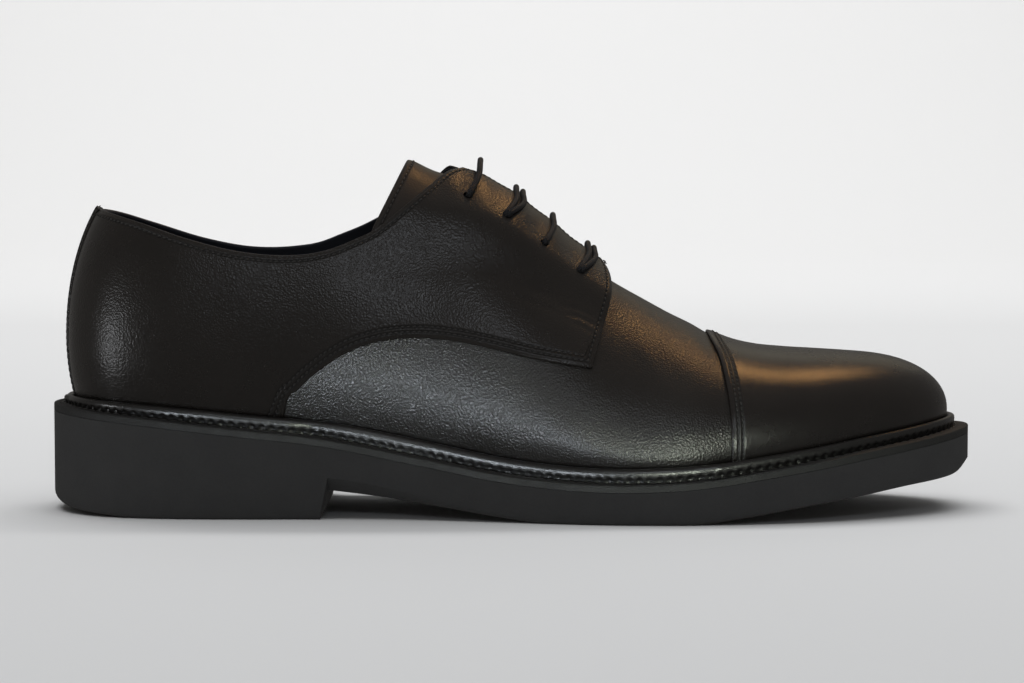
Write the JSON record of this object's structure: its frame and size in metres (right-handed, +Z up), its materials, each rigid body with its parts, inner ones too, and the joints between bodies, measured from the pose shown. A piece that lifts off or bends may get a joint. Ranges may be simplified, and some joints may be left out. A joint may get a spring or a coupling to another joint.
{
  "type": "lace-up shoe",
  "caption": "Right cap-toe lace-up shoe in black leather: hollow upper with open lacing, raised welt and thick rubber sole with heel and toe spring.",
  "frame": {"origin": "on the floor, under the middle of the shoe's bounding box", "axes": "+X from heel to toe, +Y to the inner (medial) side of the right foot, +Z up"},
  "size_m": [0.308, 0.1044, 0.1171],
  "materials": {
    "upper_leather": "black smooth leather, satin",
    "tongue_leather": "brownish black smooth leather, satin",
    "lining_leather": "dark blue-black lining leather, matte",
    "welt_leather": "black welt leather, glossy lip",
    "sole_rubber": "dark grey moulded rubber, matte",
    "lace_cord": "black waxed braided cord"
  },
  "bodies": {
    "root": {"outsole": "sole_rubber", "welt": "welt_leather", "insole": "lining_leather", "upper": "upper_leather", "toe_cap": "upper_leather", "back_strip": "upper_leather", "tongue": "tongue_leather", "lace": "lace_cord"}
  },
  "joints": []
}
